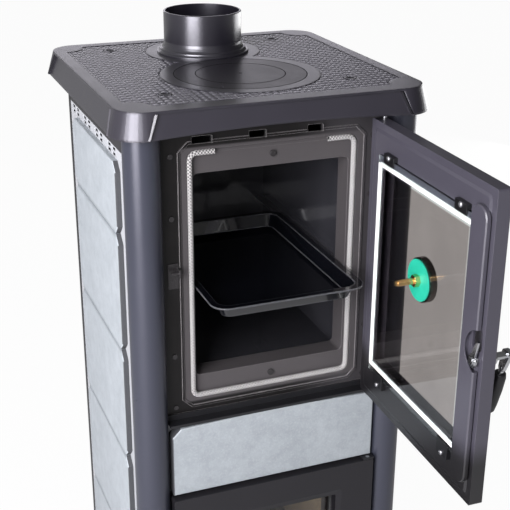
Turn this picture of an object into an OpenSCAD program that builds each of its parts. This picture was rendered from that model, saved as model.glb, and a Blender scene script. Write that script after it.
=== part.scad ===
// Wood-burning stove with an oven above the firebox and stone tiles on its sides.
// Frame: X to the right, Y to the back, Z up. The origin is on the floor, under the middle of the top plate.

/* [Overall] */
// Height from the floor to the cooking surface
stove_h = 985; // [960:5:1040]
// Width of the top plate at its cooking surface
plate_w = 440; // [436:1:470]
// Depth of the top plate at its cooking surface
plate_d = 440; // [436:1:470]

/* [Top plate] */
// Thickness of the cast plate
plate_t = 9; // [7:0.5:12]
// Height of the skirt under the cooking surface
skirt_h = 36; // [30:1:40]
// How far the skirt flares outward towards its lower edge
skirt_flare = 10; // [6:1:16]
// Wall of the skirt
skirt_wall = 6; // [4:0.5:7]
// Corner radius of the cooking surface
plate_r = 38; // [30:1:50]
// Width of the smooth rim round the pattern field
field_rim = 18; // [14:1:26]
// Depth of the pattern field
field_depth = 1.6; // [1:0.1:2.5]
// Radius of the notch in each corner of the field
field_notch = 31; // [24:1:36]
// Rise of the arch in the front lower edge of the skirt
skirt_arch = 6; // [2:1:8]
// Distance of the plate bolts inside the side edges of the plate
bolt_in = 84; // [76:1:90]
// Diameter of the bolt recesses
bolt_recess_d = 12.5; // [10:0.5:15]

/* [Hob and flue] */
// Diameter of the centre lid
lid_d = 128; // [110:1:140]
// Outer diameter of the hob ring
ring_d = 190; // [170:1:200]
// Diameter of the smooth zone round the hob
hob_zone_d = 230; // [215:1:240]
// Gap round the lid and the ring
hob_gap = 0.6; // [0.4:0.1:1.2]
// Distance from the plate centre forward to the hob centre
hob_forward = 56; // [45:1:62]
// Distance from the plate centre back to the flue centre
flue_back = 111; // [100:1:125]
// Outer diameter of the flue spigot
flue_d = 120; // [110:1:130]
// Wall of the flue spigot
flue_wall = 3; // [2:0.5:5]
// Height of the spigot above the cooking surface
flue_h = 63; // [50:1:90]
// How far the spigot's foot reaches past the spigot
foot_out = 11.5; // [8:0.5:14]

/* [Pillars and sides] */
// Diameter of the front pillars
pillar_d = 50; // [44:1:50]
// Distance of the pillar axes inside the side edges of the plate
pillar_in = 32.5; // [28:0.5:34]
// Distance of the pillar axes behind the front edge of the plate
pillar_back = 30; // [28:1:34]
// Wall of the pillars
pillar_wall = 2.5; // [1.5:0.5:4]
// How far the side sheets stand outside the pillar axes
side_out = 9.5; // [7:0.5:11]
// Thickness of the side and back sheets
sheet_t = 1.2; // [1:0.1:2]
// Distance of the body's back in front of the plate's back edge
back_in = 18; // [14:1:24]
// How far the stone tiles stand proud of the side sheets
tile_t = 8; // [6:0.5:10]
// Length of a side tile, front to back
tile_len = 262; // [240:1:290]
// Middle of the side tiles behind the plate centre
tile_mid = 16; // [0:1:30]
// Distance from the cooking surface down to the first tile
tile_top = 95; // [90:1:105]
// Distance from the cooking surface down to the first tile joint
tile_first_joint = 202; // [190:1:215]
// Distance from one tile joint to the next
tile_pitch = 182; // [170:1:183]
// Cut corners of the tiles
tile_cut = 13; // [8:1:18]
// Gap between two tiles
tile_gap = 1; // [0.5:0.5:3]

/* [Oven] */
// Distance of the oven frame behind the front edge of the plate
frame_back = 33; // [32:1:36]
// Height of the oven mouth
mouth_h = 304; // [290:1:308]
// Distance between the oven mouth and the pillars' inner sides
mouth_side = 47; // [46:0.5:52]
// How far the oven is wider than its mouth, each side
oven_more = 5; // [3:0.5:9]
// Space between the oven's back and the back wall of the inner body
oven_behind = 17; // [12:1:24]
// Wall of the enamelled oven box
oven_wall = 2; // [1.5:0.5:2.5]
// Diameter of the sealing rope
rope_d = 8; // [6:0.5:8.5]
// Distance from the top of the oven mouth down to the tray's rim
tray_down = 166; // [150:1:180]
// Depth of the tray
tray_deep = 20; // [14:1:30]
// How much shorter the tray is than the oven
tray_short = 1.5; // [1.5:0.5:30]
// Clearance of the tray in the mouth, each side
tray_clear = 1.5; // [1:0.1:3]
// How far the tray is drawn out
tray_out = 80; // [72:1:90]

/* [Doors] */
// Thickness of the doors over their raised inner face
door_t = 20; // [18:0.5:20.5]
// Distance of the door face behind the front edge of the plate
door_back = 4.4; // [3.5:0.1:6]
// Distance from the skirt's lower edge down to the oven door
door_under = 5; // [4:0.5:8]
// How far the oven door reaches above and below the mouth
door_over = 59; // [57:1:60]
// Opening angle of the oven door as drawn
oven_door_open = 88.6; // [60:0.2:105]
// Height of the band between the oven door and the firebox door
band_h = 113; // [100:1:125]
// Distance of the hinge axes from the hinge edge of the doors
hinge_edge = 8.6; // [7:0.2:10]
// Distance of the hinge axes behind the door face
hinge_in = 4.1; // [4:0.1:6]
// Diameter of the hinge pins
hinge_pin_d = 6; // [4:0.5:6]
// Running clearance of the hinge pins, on the radius
pin_clear = 0.05; // [0.02:0.01:0.1]
// Thickness of the door glass
glass_t = 4; // [3:0.5:4]
// How far the glass tape lies outside the oven mouth
tape_over = 7; // [4:0.5:8]
// Width of the glass tape
tape_w = 6; // [4:0.5:7]
// Distance from the door's top edge down to the tape
tape_top = 50; // [48:1:56]
// Diameter of the thermometer's washer
thermo_d = 56; // [48:1:60]

/* [Ash drawer and air] */
// Height of the ash drawer front
ash_front_h = 66; // [60:1:66]
// Travel of the air slider
air_travel = 28; // [20:1:30]

/* [Base] */
// Height of the base
base_h = 40; // [34:1:44]
// Wall of the base casting
base_wall = 5; // [4:0.5:8]

/* [Hidden] */
$fn = 96;

H = stove_h;
eps = 0.01;
seat = 0.3;

// Places in plan that several pieces share
plate_front = -plate_d / 2;
pillar_x = plate_w / 2 - pillar_in;
pillar_y = plate_front + pillar_back;
pillar_r = pillar_d / 2;
frame_y = plate_front + frame_back;
frame_t = 3;
between = 2 * (pillar_x - pillar_r - 0.5);
mouth_w = between - 2 * mouth_side;
oven_w = mouth_w + 2 * oven_more;
face_y = plate_front + door_back;
door_in_y = face_y + door_t;
hinge_y = face_y + hinge_in;
sheet_x = pillar_x + side_out;
body_back = plate_d / 2 - back_in;
body_half = between / 2 - 2;
body_wall = 3;
body_end = body_back - 27;
hob_y = -hob_forward;
flue_y = flue_back;

// Levels that several pieces share
z_under = H - plate_t;
z_deck = base_h + 4;
skirt_r = plate_r + skirt_flare;

// Pattern field and bolts of the top plate
bolt_x = plate_w / 2 - bolt_in;
bolt_y_back = plate_d / 2 - 59;
bolt_y_front = 85 - plate_d / 2;
foot_d = flue_d + 2 * foot_out;
cap_x_top = plate_w / 2 - 48;
cap_x_bottom = plate_w / 2 - 35;
cap_proud = 3;

// Oven frame: the rope lies in the step, the mouth is inside it
step = 6;
bead = 0.2;
oven_door_z1 = H - skirt_h - door_under;
mouth_z_top = oven_door_z1 - door_over;
mouth_z_bottom = mouth_z_top - mouth_h;
oven_door_z0 = mouth_z_bottom - door_over;
rope_half_w = mouth_w / 2 + 6;
rope_z_top = mouth_z_top + 30;
rope_z_bottom = mouth_z_bottom - 30;
step_half_w = rope_half_w + rope_d / 2 + 0.3;
step_z_top = rope_z_top + rope_d / 2 + 0.3;
step_z_bottom = rope_z_bottom - rope_d / 2 - 0.3;
step_r = 14;
frame_z_bottom = oven_door_z0 + 5;
collar_deep = 32;
zone_y = frame_y + step;
oven_front = zone_y + frame_t;
oven_back = body_end - body_wall - oven_behind - oven_wall;
oven_top = mouth_z_top + 8;
oven_bottom = mouth_z_bottom - 8;
ridge_x = between / 2 - 26;
ridge_z_top = mouth_z_top + 47;
ridge_z_bottom = mouth_z_bottom - 47;
screw_x = between / 2 - 14;
screw_z = [mouth_z_top + 29, mouth_z_top - 58, mouth_z_bottom + 39, mouth_z_bottom - 43];
slot_x = [[-118, -88], [-37, -11], [49, 73]];
slot_z = ridge_z_top + 1;
slot_h = 10;

// Tray and runners
tray_w = mouth_w - 2 * tray_clear;
tray_len = oven_back - frame_y - frame_t - tray_short;
tray_front = oven_front - 6 - tray_out;
tray_z = mouth_z_top - tray_down;
tray_lip = 9.5;
tray_slope = 9;
runner_in = tray_w / 2 - tray_lip + 1.5;

// Band tile and shelf below the oven frame
shelf_z = oven_door_z0 - 7;
shelf_t = 4;
shelf_front = frame_y - 19;
band_top = shelf_z;
band_bottom = shelf_z - band_h;
front_seam = band_bottom - 3;
band_half = between / 2 - 1.5;
band_t = 20;

// Doors
door_left = -(pillar_x - pillar_r);
door_right = pillar_x - pillar_r - 0.7;
flange = 3;
face_t = 3;
rim_w = 10;
rim_drop = 1.8;
rim_slope = 4;
back_t = 2;
hinge_x = door_right - hinge_edge;
latch_x = door_left + 14.5;
oven_latch_z = (mouth_z_top + mouth_z_bottom) / 2 - 10;
claw_len = 31;
claw_t = 3;
claw_y = frame_y - 3.2 - claw_t;
unlatched = -18;

// What lies on the doors' inner face: tape, glass on it, and the clips over the glass
tape_t = 1;
glass_y = door_in_y + tape_t;
glass_top_y = glass_y + glass_t;
glass_more = 9.3;
clip_half = 14;
clip_t = 1.5;
clip_above = 12.2;
clip_below = 20;
strip_lap = 6.5;

// Oven door: its strip laps over the glass, and the tape leg on that side lies under it
tape_half_w = mouth_w / 2 + tape_over;
strip_edge = -tape_half_w + 0.5;
under_strip = strip_edge - strip_lap;
tape_z1 = oven_door_z1 - tape_top;
tape_z0 = oven_door_z0 + tape_top + 13;
thermo_x = -8;
thermo_z = tape_z1 - 123;
thermo_r = thermo_d / 2;

// Ash drawer
ash_z0 = z_deck + 3;
ash_z1 = ash_z0 + ash_front_h;
ash_mouth_z1 = ash_z1 - 6;
ash_z = z_deck + seat;
ash_half = mouth_w / 2 - 3;
ash_end = body_end - 65;

// Firebox door and firebox
fire_door_z1 = band_bottom - 5;
fire_door_z0 = ash_z1 + 4;
fire_latch_z = fire_door_z1 - 112;
fire_half = mouth_w / 2 - 15;
fire_tape_z1 = fire_door_z1 - 44;
fire_tape_z0 = fire_door_z0 + 44;
fire_mouth_w = mouth_w - 20;
fire_mouth_z1 = fire_door_z1 - 48;
fire_mouth_z0 = fire_door_z0 + 44;
fire_floor = fire_door_z0 + 10;
brick_t = 25;

// Thin block given by its lowest corner and its highest corner
module block(a, b) {
  translate(a)
    cube([b[0] - a[0], b[1] - a[1], b[2] - a[2]]);
}

// Rectangle with round corners, centred
module round_rect(w, d, r) {
  square([w - 2 * r, d], center = true);
  square([w, d - 2 * r], center = true);
  for (sx = [-1, 1], sy = [-1, 1])
    translate([sx * (w / 2 - r), sy * (d / 2 - r)])
      circle(r);
}

// Upright opening or plate in the XZ plane, from y0 to y1, with corner radius r
module front_slab(x0, x1, z0, z1, r, y0, y1) {
  translate([(x0 + x1) / 2, y1, (z0 + z1) / 2])
    rotate([90, 0, 0])
      linear_extrude(y1 - y0)
        round_rect(x1 - x0, z1 - z0, r);
}

// Cylinder along Y, from y0 to y1
module pin_y(x, z, r, y0, y1) {
  translate([x, y1, z])
    rotate([90, 0, 0])
      cylinder(h = y1 - y0, r = r);
}

// Cylinder along X, from x0 to x1
module pin_x(y, z, r, x0, x1) {
  translate([x0, y, z])
    rotate([0, 90, 0])
      cylinder(h = x1 - x0, r = r);
}

// The oven door and what it carries are drawn closed, and this turns them to the drawn angle
module oven_door_pose() {
  translate([hinge_x, hinge_y, 0])
    rotate([0, 0, oven_door_open])
      translate([-hinge_x, -hinge_y, 0])
        children();
}

// Base and body

module base() {
  color("#3b3b40")
    difference() {
      union() {
        linear_extrude(base_h - 8)
          round_rect(plate_w + 6, plate_d + 6, plate_r);
        linear_extrude(base_h)
          round_rect(plate_w - 4, plate_d - 4, plate_r - 5);
      }
      translate([0, 0, base_wall])
        linear_extrude(base_h)
          round_rect(plate_w - 6 - 2 * base_wall, plate_d - 6 - 2 * base_wall, plate_r - 10);
    }
}

module floor_plate() {
  color("#33343a")
    translate([0, 0, base_h])
      linear_extrude(z_deck - base_h)
        round_rect(plate_w - 8, plate_d - 8, plate_r - 7);
}

module pillar(side) {
  color("#4f5362")
    translate([side * pillar_x, pillar_y, z_deck])
      difference() {
        cylinder(h = z_under - z_deck, r = pillar_r);
        translate([0, 0, -1])
          cylinder(h = H, r = pillar_r - pillar_wall);
      }
}

module pillar_left() { pillar(-1); }

module pillar_right() { pillar(1); }

// Rear corner post, an angle of folded sheet that holds the side sheet and the back
module rear_post(side) {
  leg = 16;
  fold = 2;
  color("#26272b")
    mirror([side < 0 ? 1 : 0, 0, 0])
      union() {
        block([sheet_x - fold, body_back - leg, z_deck], [sheet_x, body_back, z_under]);
        block([sheet_x - leg, body_back - fold, z_deck], [sheet_x, body_back, z_under]);
      }
}

module rear_post_left() { rear_post(-1); }

module rear_post_right() { rear_post(1); }

// Side sheet with four groups of oblong vents under the skirt
sheet_front = pillar_y + sqrt(pow(pillar_r, 2) - pow(pillar_x - sheet_x + sheet_t, 2)) + seat;
sheet_rear = body_back - 16;
vent_z = [H - 76, H - 86];
vent_groups = 4;

module side_sheet(side) {
  pitch = (sheet_rear - sheet_front) / vent_groups;
  color("#d5d7da")
    mirror([side < 0 ? 1 : 0, 0, 0])
      difference() {
        block([sheet_x - sheet_t, sheet_front, z_deck], [sheet_x, sheet_rear, z_under]);
        for (g = [0:vent_groups - 1], k = [0, 1], z = vent_z)
          translate([sheet_x - 5, sheet_front + (g + 0.5) * pitch + (k - 0.5) * 26 - 9, z - 2.5])
            cube([10, 18, 5]);
      }
}

module side_sheet_left() { side_sheet(-1); }

module side_sheet_right() { side_sheet(1); }

module back_panel() {
  half = sheet_x - 16;
  vents = floor((half - 15) / 38);
  color("#2c2d31")
    difference() {
      block([-half, body_back - sheet_t, z_deck], [half, body_back, z_under]);
      for (i = [-vents:vents], z = [H - 60, H - 75])
        front_slab(i * 38 - 14, i * 38 + 14, z - 3, z + 3, 2.9, body_back - 10, body_back + 10);
    }
}

// Stone tile standing on the plane x = 0, its face at x = tile_t, with cut corners and a bevelled edge
module cut_slab(len, high, thick, bevel) {
  hull() {
    for (k = [0, 1])
      translate([k == 0 ? 0 : thick - eps, 0, 0])
        rotate([90, 0, 90])
          linear_extrude(k == 0 ? thick - bevel : eps)
            cut_outline(len - 2 * k * bevel, high - 2 * k * bevel, tile_cut);
  }
}

module cut_outline(w, h, c) {
  polygon([[-w / 2 + c, -h / 2], [w / 2 - c, -h / 2], [w / 2, -h / 2 + c], [w / 2, h / 2 - c],
           [w / 2 - c, h / 2], [-w / 2 + c, h / 2], [-w / 2, h / 2 - c], [-w / 2, -h / 2 + c]]);
}

tile_rows = floor((H - tile_first_joint - z_deck - 5) / tile_pitch);
tile_edges = [H - tile_top, for (i = [0:tile_rows]) H - tile_first_joint - i * tile_pitch];

module side_tiles(side) {
  color("#b9c0c6")
    mirror([side < 0 ? 1 : 0, 0, 0])
      for (i = [0:len(tile_edges) - 2]) {
        high = tile_edges[i] - tile_edges[i + 1] - tile_gap;
        translate([sheet_x, tile_mid, (tile_edges[i] + tile_edges[i + 1]) / 2])
          cut_slab(tile_len, high, tile_t, 1.2);
      }
}

module side_tiles_left() { side_tiles(-1); }

module side_tiles_right() { side_tiles(1); }

// Welded inner body: side walls, back wall, shelf over the firebox and the firebox floor
module inner_body() {
  shelf = oven_bottom - oven_wall - 30;
  color("#2b2b2e")
    difference() {
      union() {
        for (s = [-1, 1])
          mirror([s < 0 ? 1 : 0, 0, 0])
            block([body_half - body_wall, frame_y + frame_t, z_deck], [body_half, body_end, z_under]);
        block([-body_half, body_end - body_wall, z_deck], [body_half, body_end, z_under]);
        block([-body_half + 1, zone_y + frame_t, shelf], [body_half - 1, body_end - 48, shelf + body_wall]);
        for (s = [-1, 1])
          block([s * 90 - 8, zone_y + frame_t + 6, shelf + body_wall - eps],
            [s * 90 + 8, oven_back - 10, oven_bottom - oven_wall]);
        block([-body_half + 1, frame_y + frame_t, fire_floor - 4], [body_half - 1, body_end - 1, fire_floor]);
      }
      block([-90, -110, fire_floor - 20], [90, 90, fire_floor + 20]);
    }
}

// Top plate, hob and flue

module flared_block(wall_in) {
  hull() {
    translate([0, 0, H - 2])
      linear_extrude(2)
        round_rect(plate_w - 2 * wall_in, plate_d - 2 * wall_in, plate_r - wall_in, $fn = 48);
    translate([0, 0, H - skirt_h])
      linear_extrude(2)
        round_rect(plate_w + 2 * skirt_flare - 2 * wall_in, plate_d + 2 * skirt_flare - 2 * wall_in,
          skirt_r - wall_in, $fn = 48);
  }
}

// Shallow panel between two corner caps, cut into the front of the skirt with sloping ends
module skirt_panel(half_top, half_bottom, reach) {
  slope = skirt_flare / (skirt_h - 4);
  ends = [[half_top, H - 3], [half_bottom, H - skirt_h - 1]];
  polyhedron(
    points = [for (out = [0, 10], e = ends, s = [-1, 1])
      [s * (e[0] + 1.33 * out), -reach + cap_proud - (H - 2 - e[1]) * slope - out, e[1]]],
    faces = [[4, 5, 7, 6], [1, 0, 2, 3], [0, 1, 5, 4], [2, 6, 7, 3], [0, 4, 6, 2], [5, 1, 3, 7]]);
}

// The pattern field's outline: a rectangle with a round notch in each corner and smooth zones left standing
module field_outline() {
  w = plate_w - 2 * field_rim;
  d = plate_d - 2 * field_rim - 12;
  difference() {
    translate([0, 4])
      square([w, d], center = true);
    for (sx = [-1, 1], sy = [-1, 1])
      translate([sx * w / 2, 4 + sy * d / 2])
        circle(field_notch);
    translate([0, hob_y])
      circle(d = hob_zone_d);
    translate([0, flue_y])
      circle(d = foot_d + 34);
    for (sx = [-1, 1], y = [bolt_y_front, bolt_y_back])
      translate([sx * bolt_x, y])
        circle(d = bolt_recess_d + 5);
  }
}

module top_plate() {
  arch_half = cap_x_bottom;
  arch_r = (pow(arch_half, 2) + pow(skirt_arch, 2)) / (2 * skirt_arch);
  color("#45454d")
    difference() {
      flared_block(0);
      translate([0, 0, -plate_t])
        flared_block(skirt_wall);
      skirt_panel(cap_x_top, cap_x_bottom, plate_d / 2);
      rotate([0, 0, 180])
        skirt_panel(cap_x_top, cap_x_bottom, plate_d / 2);
      for (a = [90, -90])
        rotate([0, 0, a])
          skirt_panel(plate_d / 2 - 48, plate_d / 2 - 35, plate_w / 2);
      translate([0, -plate_d / 2, H - skirt_h + skirt_arch - arch_r])
        rotate([90, 0, 0])
          cylinder(h = 60, r = arch_r, center = true, $fn = 720);
      translate([0, 0, H - field_depth])
        linear_extrude(10)
          field_outline();
      for (s = [-1, 1])
        translate([s * pillar_x, pillar_y, H - 60])
          cylinder(h = 60 - plate_t, r = pillar_r + seat);
      translate([0, hob_y, H - 30])
        cylinder(h = 40, d = ring_d - 12);
      translate([0, hob_y, H - 6])
        cylinder(h = 10, d = ring_d + 2 * hob_gap);
      translate([0, flue_y, H - 30])
        cylinder(h = 40, d = flue_d - 2 * flue_wall);
      for (sx = [-1, 1], y = [bolt_y_front, bolt_y_back]) {
        translate([sx * bolt_x, y, H - 3])
          cylinder(h = 5, d = bolt_recess_d);
        translate([sx * bolt_x, y, H - 30])
          cylinder(h = 40, d = 6.4);
      }
    }
}

module plate_bolts() {
  color("#2a2a2e")
    for (sx = [-1, 1], y = [bolt_y_front, bolt_y_back])
      translate([sx * bolt_x, y, 0])
        difference() {
          union() {
            translate([0, 0, H - 3])
              cylinder(h = 2.2, d = 10);
            translate([0, 0, z_under - 12])
              cylinder(h = 12 + plate_t - 3 + eps, d = 6);
          }
          translate([0, 0, H - 2])
            cylinder(h = 5, d = 5, $fn = 6);
        }
}

// Ring that rests in the plate's rebate, with a rebate of its own for the lid
module hob_ring() {
  color("#404047")
    translate([0, hob_y, 0])
      difference() {
        translate([0, 0, H - 6])
          cylinder(h = 6, d = ring_d);
        translate([0, 0, H - 10])
          cylinder(h = 20, d = lid_d - 14);
        translate([0, 0, H - 3])
          cylinder(h = 10, d = lid_d + 2 * hob_gap);
        translate([-53, -70, H - 1.5])
          cylinder(h = 5, d = 5);
      }
}

module hob_lid() {
  color("#404047")
    translate([0, hob_y, 0])
      difference() {
        union() {
          translate([0, 0, H - 3])
            cylinder(h = 3, d = lid_d);
          translate([0, 0, H - 9])
            cylinder(h = 6 + eps, d = lid_d - 14 - 2 * hob_gap);
        }
        translate([0, 0, H - 2])
          cylinder(h = 5, d = 5);
      }
}

// Spigot with a flared foot, two beads and a groove, turned in one piece
module flue_collar() {
  r = flue_d / 2;
  f = foot_d / 2;
  color("#3d3d43")
    translate([0, flue_y, H])
      rotate_extrude()
        polygon([[r - flue_wall, 0], [f, 0], [f, 2.2], [f - 1, 3.4], [f - 2.6, 3.6], [f - 3.4, 3.2],
                 [f - 4.4, 4.6], [f - 4.9, 6.6], [f - 6.2, 7.8], [f - 7.6, 8], [r + 2.4, 10.5],
                 [r + 0.8, 14], [r, 18], [r, flue_h - 1], [r - 1, flue_h],
                 [r - flue_wall + 0.5, flue_h], [r - flue_wall, flue_h - 0.5]]);
}

// Front between the pillars

// Dark rail over the band tile, which also carries the oven door's lower hinge pin
module front_shelf() {
  color("#1f1f23")
    difference() {
      union() {
        block([-between / 2, shelf_front, shelf_z], [between / 2, frame_y, shelf_z + shelf_t]);
        block([hinge_x - 9, face_y - 1, shelf_z], [between / 2, shelf_front + eps, shelf_z + shelf_t]);
        block([-between / 2, frame_y - 2, shelf_z + shelf_t - eps],
          [between / 2, frame_y, frame_z_bottom]);
      }
      translate([hinge_x, hinge_y, shelf_z - 10])
        cylinder(h = 30, d = hinge_pin_d);
    }
}

module band_backing() {
  color("#cfd1d4")
    block([-between / 2, frame_y, front_seam], [between / 2, frame_y + sheet_t, frame_z_bottom]);
}

// Stone tile across the front, its top edge slightly arched
module band_tile() {
  high = band_top - band_bottom;
  rise = 3;
  steps = 12;
  arch = [for (i = [0:steps]) let (t = 1 - 2 * i / steps)
    [t * (band_half - tile_cut), high / 2 - rise * pow(t, 2)]];
  outline = concat([[band_half, high / 2 - rise - tile_cut]], arch,
    [[-band_half, high / 2 - rise - tile_cut], [-band_half, -high / 2], [band_half, -high / 2]]);
  color("#b9c0c6")
    translate([0, frame_y - 0.2, (band_top + band_bottom) / 2])
      rotate([90, 0, 0])
        hull() {
          linear_extrude(band_t - 1.2)
            polygon(outline);
          linear_extrude(band_t)
            offset(delta = -1.2)
              polygon(outline);
        }
}

// Pressed plate with the recessed zone for the rope, the mouth with its collar, and the rib round it
module pressed_front(z0, z1, zone, mouth, mouth_r) {
  difference() {
    union() {
      block([-between / 2, frame_y, z0], [between / 2, frame_y + frame_t, z1]);
      front_slab(-zone[0] - frame_t, zone[0] + frame_t, zone[1] - frame_t, zone[2] + frame_t,
        step_r + frame_t, frame_y + 1, zone_y + frame_t);
      front_slab(-mouth[0] - 1.8, mouth[0] + 1.8, mouth[1] - 1.8, mouth[2] + 1.8, mouth_r + 1.8,
        zone_y + 1, zone_y + collar_deep);
    }
    difference() {
      front_slab(-zone[0], zone[0], zone[1], zone[2], step_r, frame_y - 10, zone_y);
      difference() {
        front_slab(-zone[0] + 1.5, zone[0] - 1.5, zone[1] + 1.5, zone[2] - 1.5, step_r - 1.5,
          zone_y - bead, zone_y + 1);
        front_slab(-zone[0] + 6.8, zone[0] - 6.8, zone[1] + 6.8, zone[2] - 6.8, step_r - 6.8,
          zone_y - bead - 1, zone_y + 2);
      }
    }
    front_slab(-mouth[0], mouth[0], mouth[1], mouth[2], mouth_r, frame_y - 20, zone_y + collar_deep + 10);
  }
}

// Raised rib with cut corners
module rib_loop(half, z0, z1, width, proud, cut) {
  translate([0, frame_y + eps, (z0 + z1) / 2])
    rotate([90, 0, 0])
      linear_extrude(proud)
        difference() {
          cut_outline(2 * half, z1 - z0, cut);
          cut_outline(2 * half - 2 * width, z1 - z0 - 2 * width, cut - 0.5 * width);
        }
}

module oven_frame() {
  color("#3a3a3e")
    difference() {
      union() {
        pressed_front(frame_z_bottom, z_under, [step_half_w, step_z_bottom, step_z_top],
          [mouth_w / 2, mouth_z_bottom, mouth_z_top], 7);
        rib_loop(ridge_x + 2, ridge_z_bottom, ridge_z_top, 3.5, 1.5, 14);
        for (s = slot_x)
          block([s[1] - 3, frame_y - 4, slot_z - slot_h / 2], [s[1] - 1.8, frame_y + 1, slot_z + slot_h / 2]);
      }
      for (s = slot_x)
        block([s[0], frame_y - 10, slot_z - slot_h / 2], [s[1] - 3, frame_y + 20, slot_z + slot_h / 2]);
      for (sx = [-1, 1], z = screw_z)
        pin_y(sx * screw_x, z, 2.2, frame_y - 10, frame_y + 10);
      for (z = [mouth_z_top + 17, mouth_z_bottom - 16])
        pin_y(0, z, 2.7, zone_y - 5, zone_y + 10);
    }
}

// Rope laid round a mouth: straight runs and quarter bends, open at the top between gap_x0 and gap_x1
module rope_loop(half, z0, z1, r, gap_x0, gap_x1) {
  y = zone_y - bead - rope_d / 2;
  rr = rope_d / 2;
  for (s = [-1, 1])
    translate([s * half, y, z0 + r])
      cylinder(h = z1 - z0 - 2 * r, r = rr, $fn = 24);
  pin_x(y, z0, rr, -half + r, half - r, $fn = 24);
  pin_x(y, z1, rr, -half + r, gap_x0, $fn = 24);
  pin_x(y, z1, rr, gap_x1, half - r, $fn = 24);
  for (s = [-1, 1], t = [0, 1])
    mirror([s < 0 ? 1 : 0, 0, 0])
      translate([half - r, y, t == 0 ? z0 + r : z1 - r])
        mirror([0, 0, t == 0 ? 1 : 0])
          rotate([90, 0, 0])
            rotate_extrude(angle = 90)
              translate([r, 0])
                circle(rr, $fn = 24);
}

module oven_rope() {
  color("#dcdad4")
    rope_loop(rope_half_w, rope_z_bottom, rope_z_top, 10, 35 - rope_half_w, rope_half_w - 40);
}

module frame_screws() {
  color("#8d8f94") {
    for (sx = [-1, 1], z = screw_z) {
      pin_y(sx * screw_x, z, 3.6, frame_y - 2, frame_y);
      pin_y(sx * screw_x, z, 2, frame_y - eps, frame_y + 6);
    }
    for (z = [mouth_z_top + 17, mouth_z_bottom - 16]) {
      pin_y(0, z, 4.6, zone_y - 2.6, zone_y);
      pin_y(0, z, 2.5, zone_y - eps, zone_y + 7);
    }
  }
}

// Plates that reach forward from the frames and carry the hinge pins
hinge_plate_t = 2.5;
hinge_levels = [oven_door_z1 + 4.5, fire_door_z1 + 1.5, fire_door_z0 - 3.5];

module hinge_plates() {
  color("#26272b")
    for (h = hinge_levels)
      difference() {
        block([hinge_x - 9, face_y - 1, h], [between / 2, frame_y, h + hinge_plate_t]);
        translate([hinge_x, hinge_y, h - 5])
          cylinder(h = 20, d = hinge_pin_d);
      }
}

module hinge_pins() {
  r = hinge_pin_d / 2;
  color("#8d8f94")
    translate([hinge_x, hinge_y, 0]) {
      translate([0, 0, oven_door_z1 - 8])
        cylinder(h = hinge_levels[0] + hinge_plate_t - oven_door_z1 + 8, r = r);
      translate([0, 0, shelf_z])
        cylinder(h = oven_door_z0 + 8 - shelf_z, r = r);
      translate([0, 0, fire_door_z1 - 8])
        cylinder(h = 12, r = r);
      translate([0, 0, fire_door_z0 - 3.5])
        cylinder(h = 12, r = r);
    }
}

// Keeper for a door claw: foot, one ear and a cross pin that the claw turns behind
keeper_rise = 28;

module keeper(z) {
  color("#6d6e73")
    union() {
      block([latch_x - 7, frame_y - 1.5, z + 2], [latch_x + 8, frame_y, z + 39]);
      block([latch_x + 5.5, frame_y - 13, z + 22], [latch_x + 8, frame_y - 1, z + 33]);
      pin_x(frame_y - 10, z + keeper_rise, 2.5, latch_x - 4.5, latch_x + 6);
    }
}

module oven_keeper() { keeper(oven_latch_z); }

module firebox_keeper() { keeper(fire_latch_z); }

// Oven

module oven_box() {
  color("#17171a")
    difference() {
      block([-oven_w / 2 - oven_wall, oven_front, oven_bottom - oven_wall],
        [oven_w / 2 + oven_wall, oven_back + oven_wall, oven_top + oven_wall]);
      block([-oven_w / 2, oven_front - 1, oven_bottom], [oven_w / 2, oven_back, oven_top]);
    }
}

module oven_runners() {
  y0 = zone_y + collar_deep + 2;
  z = tray_z - 2 - seat;
  color("#8a8c90")
    for (s = [-1, 1])
      mirror([s < 0 ? 1 : 0, 0, 0])
        union() {
          block([runner_in, y0, z - 1.5], [oven_w / 2, oven_back - 2, z]);
          block([oven_w / 2 - 1.5, y0, z - 14], [oven_w / 2, oven_back - 2, z]);
        }
}

// Pressed baking tray: rounded rim, sloping walls, flat bottom
module tray_skin(grow, drop) {
  lip = tray_lip + 1 - grow;
  hull() {
    translate([0, 0, -eps])
      linear_extrude(eps)
        round_rect(tray_w - 2 * lip, tray_len - 2 * lip, 18 + grow, $fn = 32);
    translate([0, 0, -tray_deep + drop])
      linear_extrude(eps)
        round_rect(tray_w - 2 * lip - 2 * tray_slope, tray_len - 2 * lip - 2 * tray_slope,
          12 + grow, $fn = 32);
  }
}

module oven_tray() {
  wall = 1.2;
  color("#101216")
    translate([0, tray_front + tray_len / 2, tray_z])
      difference() {
        union() {
          translate([0, 0, -2])
            linear_extrude(2)
              round_rect(tray_w, tray_len, 24);
          translate([0, 0, -1])
            tray_skin(wall, 0);
        }
        translate([0, 0, eps])
          tray_skin(0, wall);
      }
}

// Doors, drawn closed: the face is at face_y and the flanges reach back to door_in_y

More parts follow.
